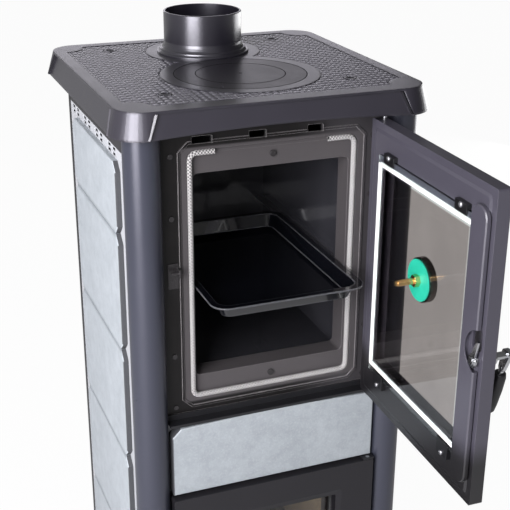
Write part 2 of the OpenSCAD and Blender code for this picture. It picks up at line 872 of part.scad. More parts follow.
// Pressed door: a face with flanges, and an inner plate with a raised field, both open at the window
module door_shell(z0, z1, win_half, win_z0, win_z1, inner_x0, latch_z) {
  bevel = 9;
  rim_y = door_in_y - rim_drop;
  in1 = rim_w;
  in2 = rim_w + rim_slope;
  difference() {
    union() {
      front_slab(door_left, door_right, z0, z1, 3, face_y, rim_y);
      hull() {
        front_slab(door_left + in1, door_right - in1, z0 + in1, z1 - in1, 8, rim_y - 1, rim_y, $fn = 24);
        front_slab(door_left + in2, door_right - in2, z0 + in2, z1 - in2, 5, rim_y, door_in_y, $fn = 24);
      }
    }
    block([door_left + flange, face_y + face_t, z0 + flange],
      [door_right - flange, rim_y - back_t, z1 - flange]);
    front_slab(-win_half, win_half, win_z0, win_z1, 4, face_y - 10, face_y + 30);
    front_slab(inner_x0, 0, win_z0, win_z1, 4, rim_y - back_t - 1, face_y + 30);
    window_bevel(win_half, win_z0, win_z1, bevel);
    translate([hinge_x, hinge_y, z0 - 1])
      cylinder(h = z1 - z0 + 2, r = hinge_pin_d / 2 + pin_clear);
    pin_y(latch_x, latch_z, 5.05, face_y - 1, face_y + 30);
    front_slab(latch_x - 9, latch_x + 10, latch_z + 14, latch_z + 42, 3, rim_y - 5, door_in_y + 5);
  }
}

// Sloping frame cut into the door's face round the window
module window_bevel(half, z0, z1, bevel) {
  hull() {
    front_slab(-half - bevel, half + bevel, z0 - bevel, z1 + bevel, 5, face_y - 1, face_y, $fn = 16);
    front_slab(-half, half, z0, z1, 4, face_y - 1, face_y + face_t - 0.6, $fn = 16);
  }
}

module door_glass(x0, x1, z0, z1) {
  color([0.78, 0.86, 0.85, 0.35])
    front_slab(x0, x1, z0, z1, 2, glass_y, glass_top_y);
}

module glass_tape(x0, x1, z0, z1) {
  color("#e9e8e4")
    difference() {
      front_slab(x0, x1, z0, z1, 3, door_in_y, glass_y);
      front_slab(x0 + tape_w, x1 - tape_w, z0 + tape_w, z1 - tape_w, 2, door_in_y - 1, glass_y + 1);
    }
}

// Clips beside the glass: each is a foot screwed to the door with a tongue that laps over the glass
module clip(x, edge, screw, out) {
  tip = edge - out * 7;
  end = screw + out * 4;
  difference() {
    union() {
      block([x - clip_half, door_in_y, min(edge + out * 0.3, end)],
        [x + clip_half, glass_top_y + clip_t, max(edge + out * 0.3, end)]);
      block([x - clip_half, glass_top_y, min(tip, screw)],
        [x + clip_half, glass_top_y + clip_t, max(tip, screw)]);
    }
    pin_y(x, screw, 2.2, door_in_y - 1, glass_top_y + 5);
  }
}

module clips(xs, z0, z1, below) {
  for (x = xs) {
    clip(x, z0 - glass_more, z0 - below, -1);
    clip(x, z1 + glass_more, z1 + clip_above, 1);
  }
}

// Pan-head screws of the clips
module clip_screws(xs, z0, z1, below) {
  head = glass_top_y + clip_t;
  for (x = xs, z = [z0 - below, z1 + clip_above])
    translate([x, head, z])
      rotate([-90, 0, 0])
        difference() {
          rotate_extrude()
            polygon([[0, door_in_y - head], [2, door_in_y - head], [2, 0], [3.7, 0],
                     [3.6, 1.2], [2.9, 2.1], [1.6, 2.6], [0, 2.7]]);
          for (a = [0, 90])
            rotate([0, 0, a])
              translate([-2, -0.4, 1.5])
                cube([4, 0.8, 3]);
        }
}

win_half = tape_half_w - tape_w - 2;
win_z1 = tape_z1 - tape_w - 2;
win_z0 = tape_z0 + tape_w + 2;
clip_x = [24 - tape_half_w, tape_half_w - 30];

module oven_door_frame() {
  color("#3f3f45")
    oven_door_pose()
      door_shell(oven_door_z0, oven_door_z1, win_half, win_z0, win_z1, strip_edge + 1, oven_latch_z);
}

module oven_door_glass() {
  oven_door_pose()
    difference() {
      door_glass(under_strip + seat, tape_half_w + 1.5, tape_z0 - glass_more, tape_z1 + glass_more);
      pin_y(thermo_x, thermo_z, 4.3, glass_y - 5, glass_top_y + 5);
    }
}

module oven_glass_tape() {
  oven_door_pose()
    glass_tape(under_strip + seat, tape_half_w, tape_z0, tape_z1);
}

module oven_glass_clamps() {
  color("#1c1c1f")
    oven_door_pose()
      clips(clip_x, tape_z0, tape_z1, clip_below);
}

module oven_clamp_screws() {
  color("#b9babd")
    oven_door_pose()
      clip_screws(clip_x, tape_z0, tape_z1, clip_below);
}

// Raised cover on the latch side of the inner face: it laps over the glass and is cut out round the latch
strip_in = 7;
strip_t = tape_t + glass_t + 1.2;
pocket_r = 29;

module oven_door_strip() {
  z0 = oven_door_z0 + 26;
  z1 = oven_door_z1 - 25;
  x0 = door_left + strip_in;
  roof = 1.8;
  color("#4a4a52")
    oven_door_pose()
      difference() {
        hull() {
          front_slab(x0, strip_edge, z0, z1, 16, door_in_y, door_in_y + strip_t - 1.5, $fn = 32);
          front_slab(x0 + 1.5, strip_edge - 1, z0 + 1.5, z1 - 1.5, 14.5,
            door_in_y + 1, door_in_y + strip_t, $fn = 32);
        }
        front_slab(x0 + 3, under_strip - 3, z0 + 3, z1 - 3, 9, door_in_y - 1, door_in_y + strip_t - roof);
        block([under_strip, door_in_y - 1, tape_z0 - glass_more - seat],
          [strip_edge + 1, glass_top_y + 0.1, tape_z1 + glass_more + seat]);
        pin_y(x0 - 5, oven_latch_z + 15, pocket_r, face_y, door_in_y + 10);
      }
}

// Bimetal thermometer through the glass: case outside, washer and stem inside
module thermometer_case() {
  y = glass_y;
  color("#77787c")
    oven_door_pose()
      difference() {
        union() {
          pin_y(thermo_x, thermo_z, thermo_r + 2, y - 9, y);
          pin_y(thermo_x, thermo_z, 4, y - 1, glass_top_y + 2);
        }
        pin_y(thermo_x, thermo_z, thermo_r - 0.5, y - 10, y - 4);
      }
}

module thermometer_washer() {
  y = glass_top_y;
  color("#2fbfa0")
    oven_door_pose()
      difference() {
        pin_y(thermo_x, thermo_z, thermo_r, y, y + 1.6);
        pin_y(thermo_x, thermo_z, 4.3, y - 1, y + 3);
      }
}

module thermometer_stem() {
  y = glass_top_y + 1.6;
  color("#c79a4b")
    oven_door_pose()
      difference() {
        union() {
          translate([thermo_x, y + 7, thermo_z])
            rotate([90, 0, 0])
              cylinder(h = 7, r = 8.5, $fn = 6);
          pin_y(thermo_x, thermo_z, 4.4, y + 6, y + 30);
          pin_y(thermo_x, thermo_z, 3.2, y + 29, y + 33);
        }
        pin_y(thermo_x, thermo_z, 4.05, y - 5, y + 1.5);
      }
}

module thermometer_dial() {
  color("#ecebe6")
    oven_door_pose()
      difference() {
        pin_y(thermo_x, thermo_z, thermo_r - 0.8, glass_y - 5, glass_y - 4);
        pin_y(thermo_x, thermo_z, 1.05, glass_y - 8, glass_y);
      }
}

module thermometer_needle() {
  color("#b3261e")
    oven_door_pose()
      union() {
        translate([thermo_x, glass_y - 5.4, thermo_z])
          rotate([90, 0, 0])
            linear_extrude(0.6)
              polygon([[-1.4, -5], [1.4, -5], [0.5, thermo_r - 6], [-0.5, thermo_r - 6]]);
        pin_y(thermo_x, thermo_z, 2, glass_y - 6.4, glass_y - 5.4);
        pin_y(thermo_x, thermo_z, 1, glass_y - 5.41, glass_y - 4.3);
      }
}

// Lever on the shaft outside the door
module handle_lever(z, turn) {
  translate([latch_x, 0, z])
    rotate([0, turn, 0]) {
      pin_y(0, 0, 5, face_y - 22, claw_y + claw_t + 1.5);
      pin_y(0, 0, 9, face_y - 6, face_y - 0.4);
      translate([0, face_y - 22, 0])
        hull() {
          rotate([90, 0, 0])
            cylinder(h = 5, r = 8, $fn = 32);
          translate([0, 0, -22])
            rotate([90, 0, 0])
              cylinder(h = 5, r = 5.5, $fn = 32);
        }
      translate([0, face_y - 24.5, -96])
        cylinder(h = 76, r = 4);
    }
}

module handle_grip(z, turn) {
  translate([latch_x, 0, z])
    rotate([0, turn, 0])
      translate([0, face_y - 24.5, -98])
        rotate_extrude()
          polygon([[4, 0], [7, 0], [8.6, 3], [9.4, 14], [9.6, 40], [8.8, 60], [7.4, 66],
                   [6.6, 67], [4, 67]]);
}

// Claw that turns behind the keeper's pin
module claw(z, turn) {
  translate([latch_x, claw_y, z])
    rotate([0, turn, 0])
      difference() {
        union() {
          pin_y(0, 0, 9, 0, 1.8);
          pin_y(0, 0, 7, 0, claw_t);
          rotate([-90, 0, 0])
            linear_extrude(claw_t)
              polygon([[-5, -2], [5, -2], [2.5, -claw_len + 5], [1, -claw_len], [-2, -claw_len]]);
        }
        rotate([-90, 0, 0])
          translate([0, 0, -1])
            cylinder(h = claw_t + 2, r = 5.05);
      }
}

module oven_door_handle() {
  color("#8d8f94")
    oven_door_pose()
      handle_lever(oven_latch_z, unlatched);
}

module oven_door_grip() {
  color("#1d1d20")
    oven_door_pose()
      handle_grip(oven_latch_z, unlatched);
}

module oven_door_latch() {
  color("#c9cacd")
    oven_door_pose()
      claw(oven_latch_z, unlatched);
}

// Firebox

module firebox_frame() {
  color("#36363a")
    difference() {
      pressed_front(z_deck, front_seam, [step_half_w, fire_door_z0 + 18, fire_door_z1 - 18],
        [fire_mouth_w / 2, fire_mouth_z0, fire_mouth_z1], 7);
      block([-ash_half - 1.5, frame_y - 20, z_deck - 1], [ash_half + 1.5, frame_y + 20, ash_mouth_z1]);
    }
}

module firebox_rope() {
  color("#dcdad4")
    rope_loop(rope_half_w, fire_door_z0 + 18 + rope_d / 2 + 0.3,
      fire_door_z1 - 18 - rope_d / 2 - 0.3, 10, -1, 1);
}

brick_z1 = fire_mouth_z1 + 22;

module firebrick(side) {
  color("#d8ccb4")
    mirror([side < 0 ? 1 : 0, 0, 0])
      block([body_half - body_wall - brick_t - seat, zone_y + collar_deep + 2, fire_floor],
        [body_half - body_wall - seat, body_end - body_wall - brick_t - 1, brick_z1]);
}

module firebrick_left() { firebrick(-1); }

module firebrick_right() { firebrick(1); }

module firebrick_back() {
  color("#d8ccb4")
    block([-body_half + body_wall + seat, body_end - body_wall - brick_t - seat, fire_floor],
      [body_half - body_wall - seat, body_end - body_wall - seat, brick_z1]);
}

// Baffle that lies on the side bricks and leaves the way for the smoke at the front
module baffle_plate() {
  color("#cbbf9f")
    block([-body_half + body_wall + 2, -60, brick_z1],
      [body_half - body_wall - 2, body_end - body_wall - 1, brick_z1 + 20]);
}

module grate() {
  color("#2d2d30")
    difference() {
      union() {
        block([-88, -108, fire_floor - 10], [88, 88, fire_floor + eps]);
        block([-96, -116, fire_floor], [96, 96, fire_floor + 5]);
      }
      for (i = [-5:5], k = [-1, 1])
        block([i * 15 - 3.5, k > 0 ? 8 : -100, fire_floor - 20],
          [i * 15 + 3.5, k > 0 ? 80 : -16, fire_floor + 20]);
    }
}

module fire_door_frame() {
  color("#3f3f45")
    door_shell(fire_door_z0, fire_door_z1, fire_half, fire_tape_z0 + tape_w + 2,
      fire_tape_z1 - tape_w - 2, -fire_half, fire_latch_z);
}

module fire_door_glass() {
  half = fire_half + tape_w + 3.5;
  door_glass(-half, half, fire_tape_z0 - glass_more, fire_tape_z1 + glass_more);
}

module fire_glass_tape() {
  half = fire_half + tape_w + 2;
  glass_tape(-half, half, fire_tape_z0, fire_tape_z1);
}

fire_clip_x = [-70, 70];

module fire_glass_clamps() {
  color("#1c1c1f")
    union() {
      clips(fire_clip_x, fire_tape_z0, fire_tape_z1, clip_above);
      clip_screws(fire_clip_x, fire_tape_z0, fire_tape_z1, clip_above);
    }
}

module fire_door_handle() {
  color("#8d8f94")
    union() {
      handle_lever(fire_latch_z, unlatched);
      handle_grip(fire_latch_z, unlatched);
    }
}

module fire_door_latch() {
  color("#c9cacd")
    claw(fire_latch_z, unlatched);
}

// Ash drawer and air

module ash_drawer() {
  wall = 1.5;
  color("#2f3034")
    difference() {
      block([-ash_half, frame_y - 2, ash_z], [ash_half, ash_end, ash_mouth_z1 - 6]);
      block([-ash_half + wall, frame_y - 2 + wall, ash_z + wall], [ash_half - wall, ash_end - wall, H]);
    }
}

air_z = (ash_z0 + ash_z1) / 2;
air_slots = [-30, 0, 30];
knob_x = 84;

module ash_front() {
  color("#3a3a3f")
    difference() {
      front_slab(-between / 2 + 0.5, between / 2 - 0.5, ash_z0, ash_z1, 3, face_y + 2, frame_y - 2);
      block([-between / 2 + 3.5, face_y + 5, ash_z0 + 3], [between / 2 - 3.5, frame_y, ash_z1 - 3]);
      for (x = air_slots)
        front_slab(x - 9, x + 9, air_z - 6, air_z + 6, 2, face_y - 5, face_y + 10);
      front_slab(knob_x - 3 - air_travel, knob_x + 3, air_z - 3, air_z + 3, 2.9, face_y - 5, face_y + 10);
    }
}

// Slider behind the drawer front that opens and shuts the air slots
module air_slider() {
  color("#8d8f94")
    difference() {
      union() {
        block([-48, face_y + 5 + seat, air_z - 10], [knob_x + 6, face_y + 7 + seat, air_z + 10]);
        pin_y(knob_x, air_z, 2, face_y - 4, face_y + 6);
        pin_y(knob_x, air_z, 6, face_y - 12, face_y - 3.9);
      }
      for (x = air_slots)
        front_slab(x - 6, x + 6, air_z - 6, air_z + 6, 2, face_y - 5, face_y + 10);
    }
}

base();
floor_plate();
pillar_left();
pillar_right();
rear_post_left();
rear_post_right();
side_sheet_left();
side_sheet_right();
back_panel();
side_tiles_left();
side_tiles_right();
inner_body();
top_plate();
plate_bolts();
flue_collar();
hob_ring();
hob_lid();
front_shelf();
band_backing();
band_tile();
oven_frame();
oven_rope();
frame_screws();
hinge_plates();
hinge_pins();
oven_keeper();
oven_box();
oven_runners();
oven_tray();
oven_door_frame();
oven_door_glass();
oven_glass_tape();
oven_glass_clamps();
oven_clamp_screws();
oven_door_strip();
thermometer_case();
thermometer_washer();
thermometer_stem();
thermometer_dial();
thermometer_needle();
oven_door_handle();
oven_door_grip();
oven_door_latch();
firebox_frame();
firebox_rope();
firebox_keeper();
firebrick_left();
firebrick_right();
firebrick_back();
baffle_plate();
grate();
fire_door_frame();
fire_door_glass();
fire_glass_tape();
fire_glass_clamps();
fire_door_handle();
fire_door_latch();
ash_drawer();
ash_front();
air_slider();
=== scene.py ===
import math

import bpy
from mathutils import Matrix, Vector


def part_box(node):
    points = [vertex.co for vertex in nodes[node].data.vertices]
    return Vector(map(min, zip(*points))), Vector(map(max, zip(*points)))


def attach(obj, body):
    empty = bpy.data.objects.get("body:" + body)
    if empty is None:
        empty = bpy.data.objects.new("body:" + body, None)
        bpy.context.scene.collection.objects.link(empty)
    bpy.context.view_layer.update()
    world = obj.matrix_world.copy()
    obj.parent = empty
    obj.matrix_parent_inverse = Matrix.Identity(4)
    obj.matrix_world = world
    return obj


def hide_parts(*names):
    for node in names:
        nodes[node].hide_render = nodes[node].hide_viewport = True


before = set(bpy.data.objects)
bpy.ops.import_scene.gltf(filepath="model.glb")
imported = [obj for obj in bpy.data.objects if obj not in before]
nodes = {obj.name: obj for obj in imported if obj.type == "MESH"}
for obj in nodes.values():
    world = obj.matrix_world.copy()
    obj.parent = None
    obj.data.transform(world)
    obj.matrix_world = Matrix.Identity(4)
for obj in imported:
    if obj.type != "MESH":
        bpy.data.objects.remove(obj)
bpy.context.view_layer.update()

cook_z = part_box("top_plate")[1][2]


# Camera: it stands in front of the left pillar, a little above the cooking surface (cook_z), and
# looks down on the oven. The photograph crops the lower half of the stove.
yaw, pitch, roll = 0.37434, 0.39059, 0.00516
sensor_mm, focal_px, picture_px = 36, 1091.36, 510
forward = Vector((math.sin(yaw) * math.cos(pitch), math.cos(yaw) * math.cos(pitch),
                  -math.sin(pitch)))
level = Vector((math.cos(yaw), -math.sin(yaw), 0))
upward = level.cross(forward)
right = level * math.cos(roll) + upward * math.sin(roll)
upward = upward * math.cos(roll) - level * math.sin(roll)
lens = bpy.data.cameras.new("photo_camera")
lens.sensor_width = sensor_mm
lens.lens = sensor_mm * focal_px / picture_px
lens.clip_end = 50
camera = bpy.data.objects.new("photo_camera", lens)
bpy.context.collection.objects.link(camera)
spot = Vector((-0.5440, -1.5018, cook_z + 0.35425))
turn = Matrix((right, upward, -forward)).transposed()
camera.matrix_world = Matrix.Translation(spot) @ turn.to_4x4()
bpy.context.scene.camera = camera
bpy.context.scene.view_settings.view_transform = "Standard"


# Studio: a pale floor that keeps the stove's shadow and shows white to the camera, and a white
# world that is dim as a light and dimmer on the right in what the stove mirrors.
class Value:
    """A node's output. Arithmetic on it adds the Math nodes."""

    def __init__(self, owner, socket):
        self.owner, self.socket = owner, socket

    def math(self, operation, first, second):
        return self.owner.node("Math", {"operation": operation}, {0: first, 1: second})

    def __add__(self, other):
        return self.math("ADD", self, other)

    def __radd__(self, other):
        return self.math("ADD", other, self)

    def __sub__(self, other):
        return self.math("SUBTRACT", self, other)

    def __rsub__(self, other):
        return self.math("SUBTRACT", other, self)

    def __mul__(self, other):
        return self.math("MULTIPLY", self, other)

    def __rmul__(self, other):
        return self.math("MULTIPLY", other, self)

    def __abs__(self):
        return self.math("ABSOLUTE", self, 0)

    def most(self, other):
        return self.math("MAXIMUM", self, other)


class Nodes:
    """The nodes of a material or of the world."""

    def __init__(self, holder):
        holder.use_nodes = True
        self.tree = holder.node_tree

    def feed(self, made, sockets):
        for key, value in (sockets or {}).items():
            if isinstance(value, Value):
                self.tree.links.new(value.socket, made.inputs[key])
            else:
                made.inputs[key].default_value = value

    def node(self, kind, settings=None, sockets=None, output=0):
        """A new node. Its settings come first, then the values or links of its sockets."""
        made = self.tree.nodes.new("ShaderNode" + kind)
        for key, value in (settings or {}).items():
            setattr(made, key, value)
        self.feed(made, sockets)
        return Value(self, made.outputs[output])

    def dot(self, vector, direction):
        return self.node("VectorMath", {"operation": "DOT_PRODUCT"}, {0: vector, 1: direction}, 1)


class Finish(Nodes):
    """A material on the Principled shader, with the sockets that stay the same set by name."""

    def __init__(self, name, **fixed):
        self.material = bpy.data.materials.new(name)
        super().__init__(self.material)
        self.shader = self.tree.nodes["Principled BSDF"]
        self.out = self.tree.nodes["Material Output"]
        self.set(**fixed)

    def set(self, **sockets):
        self.feed(self.shader, {name.replace("_", " "): value for name, value in sockets.items()})

    def given(self, name):
        """What already feeds a socket of the shader."""
        return Value(self, self.shader.inputs[name].links[0].from_socket)

    def mix_in(self, factor, other):
        """Mixes another shader in ahead of the material's output."""
        own = Value(self, self.shader.outputs[0])
        mixed = self.node("MixShader", None, {0: factor, 1: own, 2: other})
        self.tree.links.new(mixed.socket, self.out.inputs[0])

    def here(self):
        return self.node("TexCoord", output="Object")

    def along(self, direction):
        """How far a point lies along a direction, in metres from the origin."""
        return self.dot(self.here(), direction)

    def noise(self, size, detail=4, stretch=(1, 1, 1), roughness=0.55):
        """Cloudy values from 0 to 1, in patches of about this size in metres."""
        place = self.node("VectorMath", {"operation": "MULTIPLY"}, {0: self.here(), 1: stretch})
        return self.node("TexNoise", None, {"Vector": place, "Scale": 1 / size,
                                            "Detail": detail, "Roughness": roughness})

    def crown(self):
        """How high a point lies on its strand, from 0 in the gaps to 1, as its mesh says."""
        return self.node("Attribute", {"attribute_name": "crown"}, output="Fac")

    def between(self, value, low, high):
        """From 0 at low to 1 at high, smoothly."""
        return self.node("MapRange", {"interpolation_type": "SMOOTHSTEP"},
                         {"Value": value, "From Min": low, "From Max": high})

    def mix(self, factor, first, second):
        return self.node("Mix", {"data_type": "RGBA"}, {0: factor, 6: first, 7: second}, 2)

    def bump(self, height, depth, under=None):
        """Relief of this depth in metres, over the edges that are already rounded."""
        sockets = {"Height": height, "Distance": depth}
        if under:
            sockets["Normal"] = under
        return self.node("Bump", None, sockets)

    def rounded(self, radius):
        """Edges that catch the light as if they were rounded, and a mask of where they are."""
        soft = self.node("Bevel", {"samples": 4}, {"Radius": radius})
        flat = self.node("NewGeometry", output="True Normal")
        return soft, self.between(1 - abs(self.dot(soft, flat)), 0.02, 0.2)


floor_half = 9
floor = bpy.data.meshes.new("studio_floor")
floor.from_pydata([(-floor_half, -floor_half, 0), (floor_half, -floor_half, 0),
                   (floor_half, floor_half, 0), (-floor_half, floor_half, 0)], [], [(0, 1, 2, 3)])
floor = bpy.data.objects.new("studio_floor", floor)
bpy.context.collection.objects.link(floor)
shown_white, mirrored_white = 0.96, 0.3
pale = Finish("studio_paper", Roughness=0.9)
seen = pale.node("LightPath", output="Is Camera Ray")
seen = seen.most(pale.node("LightPath", output="Is Transmission Ray"))
mirrored = pale.node("LightPath", output="Is Glossy Ray")
white = pale.node("Emission", None, {"Color": (1, 1, 1, 1), "Strength": 1})
pale.set(Base_Color=pale.mix(seen, (0.5, 0.5, 0.51, 1), (0.95, 0.95, 0.95, 1)),
         Roughness=pale.noise(0.02) * 0.1 + 0.85)
pale.mix_in((seen * shown_white).most(mirrored * mirrored_white), white)
floor.data.materials.append(pale.material)

world_light, mirrored_light, mirrored_dusk = 0.18, 0.36, 0.06
world = bpy.data.worlds.new("studio_world")
bpy.context.scene.world = world
sky = Nodes(world)
to_the_right = sky.dot(sky.node("TexCoord", output="Generated"), (1, 0, 0))
dusk = sky.node("MapRange", None, {"Value": to_the_right, "From Min": 0.1, "From Max": 0.6,
                                   "To Min": mirrored_light, "To Max": mirrored_dusk})
glossy = sky.node("LightPath", output="Is Glossy Ray")
strength = sky.node("Mix", None, {0: glossy, 2: world_light, 3: dusk})
for shows_white in ("Is Transmission Ray", "Is Camera Ray"):
    ray = sky.node("LightPath", output=shows_white)
    strength = sky.node("Mix", None, {0: ray, 2: strength, 3: 1})
sky.feed(sky.tree.nodes["Background"], {"Color": (1, 1, 1, 1), "Strength": strength})


# Lamps: a tall soft one at the front left does most of the work, a low one lights the right
# side and the back from below the plate, and a narrow one behind puts a sheen on the plate.
def lamp(name, where, target, size, power, tint=(1, 1, 1)):
    light = bpy.data.lights.new(name, "AREA")
    light.shape = "RECTANGLE"
    light.size, light.size_y = size
    light.energy = power
    light.color = tint
    stand = bpy.data.objects.new(name, light)
    stand.location = where
    stand.rotation_euler = (Vector(target) - Vector(where)).to_track_quat("-Z", "Y").to_euler()
    bpy.context.collection.objects.link(stand)


lamp("key_left", (-1.5, -1.4, 1.3), (0, -0.1, 0.85), (1.3, 2.0), 94, (1, 0.985, 1.03))
lamp("fill_right", (2.6, 1.3, 0.46), (0, 0, 0.45), (2.4, 0.9), 22)
lamp("sheen_back", (0.45, 2.7, 1.45), (-0.05, 0.1, 0.98), (2.6, 0.4), 4.6, (1, 0.96, 1.08))


# Cast pieces: the base, the top plate, the hob and the flue spigot are grey iron under satin
# heat-proof paint, with a fine sandy skin, a faint cloudiness and edges painted lighter, partly as
# wear and partly as a painted highlight.
def shade(red, green, blue):
    """A colour as it is read off a screen, from 0 to 255, in the shader's linear values."""
    return tuple((c / 255 / 12.92) if c < 11 else ((c / 255 + 0.055) / 1.055) ** 2.4
                 for c in (red, green, blue)) + (1,)


def dress(finish, *names):
    """Puts a finish on pieces of the CAD model."""
    for name in names:
        for place in nodes[name].material_slots:
            place.material = finish.material


def rubbed_and_highlit(colour, gain=1.18, lift=0.004):
    """The same paint made lighter, where it is worn and where an edge carries a painted highlight.
    """
    return tuple(c * gain + lift for c in colour[:3]) + (1,)


def cast_paint(name, colour, rough=0.42, skin=0.00012, edge=0.001, edge_wear_and_highlight=0.35, woven=False,
               **fixed):
    """Painted iron, edges painted lighter as wear and painted highlight. On the woven field the
    gaps are painted dark as shade and only the strands' tops shine.
    """
    iron = Finish(name, **fixed)
    cloud = iron.noise(0.06)
    sand = iron.noise(0.0016, 3)
    soft, rim = iron.rounded(edge)
    body = iron.mix(cloud * 0.6, colour, rubbed_and_highlit(colour))
    # Edges coloured lighter: partly wear, partly a painted highlight.
    body = iron.mix(rim * edge_wear_and_highlight, body, rubbed_and_highlit(colour, 1.9, 0.012))
    dull = cloud * 0.12 + sand * 0.08 + (rough - 0.1)
    if woven:
        top = iron.between(iron.crown(), 0.08, 0.55)
        # Painted shade: the gaps between the strands are coloured nearly black.
        body = iron.mix(top, shade(8, 8, 10), body)
        dull = dull + (1 - top) * 0.5
        iron.set(Coat_Weight=top * 0.95)
    iron.set(Base_Color=body, Roughness=dull, Normal=iron.bump(sand, skin, soft))
    return iron


violet = (0.92, 0.91, 1.0, 1)
cast = cast_paint("cast_iron_paint", shade(41, 39, 46), 0.31, edge=0.005, edge_wear_and_highlight=0.1,
                  Specular_Tint=violet, Specular_IOR_Level=0.8,
                  Coat_Weight=0.4, Coat_Roughness=0.28)
dress(cast, "base", "top_plate")
turned = cast_paint("hob_iron", shade(40, 38, 44), 0.33, 0.00008)
dress(turned, "hob_ring", "hob_lid")
collar = cast_paint("spigot_iron", shade(24, 22, 30), 0.3, 0.00003,
                    Specular_Tint=violet, Specular_IOR_Level=1.0,
                    Coat_Weight=0.8, Coat_Roughness=0.24)
dress(collar, "flue_collar")


# Joints of the hob: the narrow gaps round the lid and round the ring are shown as painted shade, a
# thin nearly black flat ring over each gap, which lifts out with the piece that lies outside it.
def mesh_piece(name, points, faces, finish, body, pose=None, smooth=True, crown=None):
    """A piece that rides a body. Crown says how high each point lies on its strand."""
    mesh = bpy.data.meshes.new(name)
    mesh.from_pydata([tuple(pose @ Vector(p)) for p in points] if pose else points, [], faces)
    if crown:
        mesh.attributes.new("crown", "FLOAT", "POINT").data.foreach_set("value", crown)
    if smooth:
        mesh.polygons.foreach_set("use_smooth", [True] * len(mesh.polygons))
    mesh.materials.append(finish.material)
    piece = bpy.data.objects.new(name, mesh)
    bpy.context.collection.objects.link(piece)
    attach(piece, body)
    return piece


def flat_ring(cx, cy, z, inner, outer, turns=96):
    angles = [2 * math.pi * k / turns for k in range(turns)]
    points = [(cx + r * math.cos(turn), cy + r * math.sin(turn), z)
              for r in (inner, outer) for turn in angles]
    return points, [(k, turns + k, turns + (k + 1) % turns, (k + 1) % turns) for k in range(turns)]


gap_shade_lift, gap_shade_wide = 0.00012, 0.0013
# Painted shade: a nearly black finish for the rings over the hob's gaps.
gap_shade = cast_paint("joint_gap_shade", shade(7, 7, 8), 0.8, Specular_IOR_Level=0.1)
for name, node, body in (("hob_lid_joint", "hob_lid", "hob_ring"),
                         ("hob_ring_joint", "hob_ring", "stove")):
    low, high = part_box(node)
    r = (high[0] - low[0]) / 2
    points, faces = flat_ring((low[0] + high[0]) / 2, (low[1] + high[1]) / 2, cook_z + gap_shade_lift,
                              r, r + gap_shade_wide)
    mesh_piece(name, points, faces, gap_shade, body)


# Woven field of the top plate: the casting shows a plain weave of raised pillows inside the
# smooth rim, with a round notch in each corner and smooth zones round the hob, the flue and the
# four black bolts that hold the plate down.
field_half_x, field_y0, field_y1 = 0.202, -0.192, 0.200
field_floor, pillow_rise, pillow_lift = cook_z - 0.0016, 0.0016, 0.00005
hob_zone, flue_zone, notch = (0, -0.056, 0.115), (0, 0.111, 0.0885), 0.031
bolt_x, bolt_ys, bolt_zone = 0.136, (-0.135, 0.161), 0.00875
rounds = [hob_zone, flue_zone]
rounds += [(sx * field_half_x, y, notch) for sx in (-1, 1) for y in (field_y0, field_y1)]
rounds += [(sx * bolt_x, y, bolt_zone) for sx in (-1, 1) for y in bolt_ys]
strand_x, strand_y, weave_y0 = 0.00984, 0.0121, -0.142
strand_steps_x, strand_steps_y = 8, 9
strand_across, strand_along, strand_dip = 0.96, 0.98, 0.35
field_edge, field_fade = 0.0002, 0.0022


def field_inset(x, y):
    """How far a point of the plate lies inside the woven field, negative outside it."""
    inset = min(field_half_x - abs(x), y - field_y0, field_y1 - y)
    for cx, cy, r in rounds:
        inset = min(inset, math.hypot(x - cx, y - cy) - r)
    return inset


def weave(a, b):
    """Height of a plain weave from 0 to 1, one strand over another in turn, in cell units."""
    i, j = math.floor(a), math.floor(b)
    u, v = a - i - 0.5, b - j - 0.5
    if (i + j) % 2:
        u, v = v, u
    across = math.cos(math.pi * strand_across * u) ** 0.5
    return across * (strand_dip + (1 - strand_dip) * math.cos(math.pi * v * strand_along))


def woven_field():
    """A grid over the field. The pillows fade out at its edge."""
    step_x, step_y = strand_x / strand_steps_x, strand_y / strand_steps_y
    points, faces, crown, index = [], [], [], {}
    columns = range(-int(field_half_x / step_x), int(field_half_x / step_x) + 1)
    rows = range(int(round((field_y1 - field_y0) / step_y)) + 1)
    for j in rows:
        y = field_y0 + j * step_y
        for i in columns:
            x = i * step_x
            inset = field_inset(x, y)
            if inset < field_edge:
                continue
            fade = min(1, inset / field_fade)
            fade = fade * fade * (3 - 2 * fade)
            rise = weave(x / strand_x, (y - weave_y0) / strand_y)
            index[i, j] = len(points)
            points.append((x, y, field_floor + pillow_lift + pillow_rise * fade * rise))
            crown.append(fade * rise)
    for j in rows[:-1]:
        for i in columns[:-1]:
            corners = [index.get(key) for key in ((i, j), (i + 1, j), (i + 1, j + 1), (i, j + 1))]
            if None not in corners:
                faces.append(corners)
    return points, faces, crown


# Painted sheen: the field is coloured lighter than the rest of the same casting.
field = cast_paint("field_iron_painted_sheen", shade(84, 81, 92), 0.27, 0.00006, 0.0003, 0, True,
                   Specular_Tint=violet, Specular_IOR_Level=1.0, Coat_Roughness=0.26)
points, faces, crown = woven_field()
mesh_piece("woven_field", points, faces, field, "stove", crown=crown)
dress(cast_paint("bolt_black", shade(22, 22, 24), 0.5), "plate_bolts")


# Seams of the skirt: a slanted bead covers each joint between a corner cap and the straight
# apron beside it, with its broad face turned to the corner. The two that face the light at the
# left and at the front corner are coloured bright as a painted highlight, the others are matt and
# coloured dark as painted shade.
seam_top, seam_bottom = (0.172, -0.2203, cook_z - 0.0035), (0.185, -0.2292, cook_z - 0.0345)
seam_slope, seam_lap, seam_proud, seam_front, seam_foot = 0.004, 0.0007, 0.0017, 0.0006, -0.0012
apron_step = 0.003


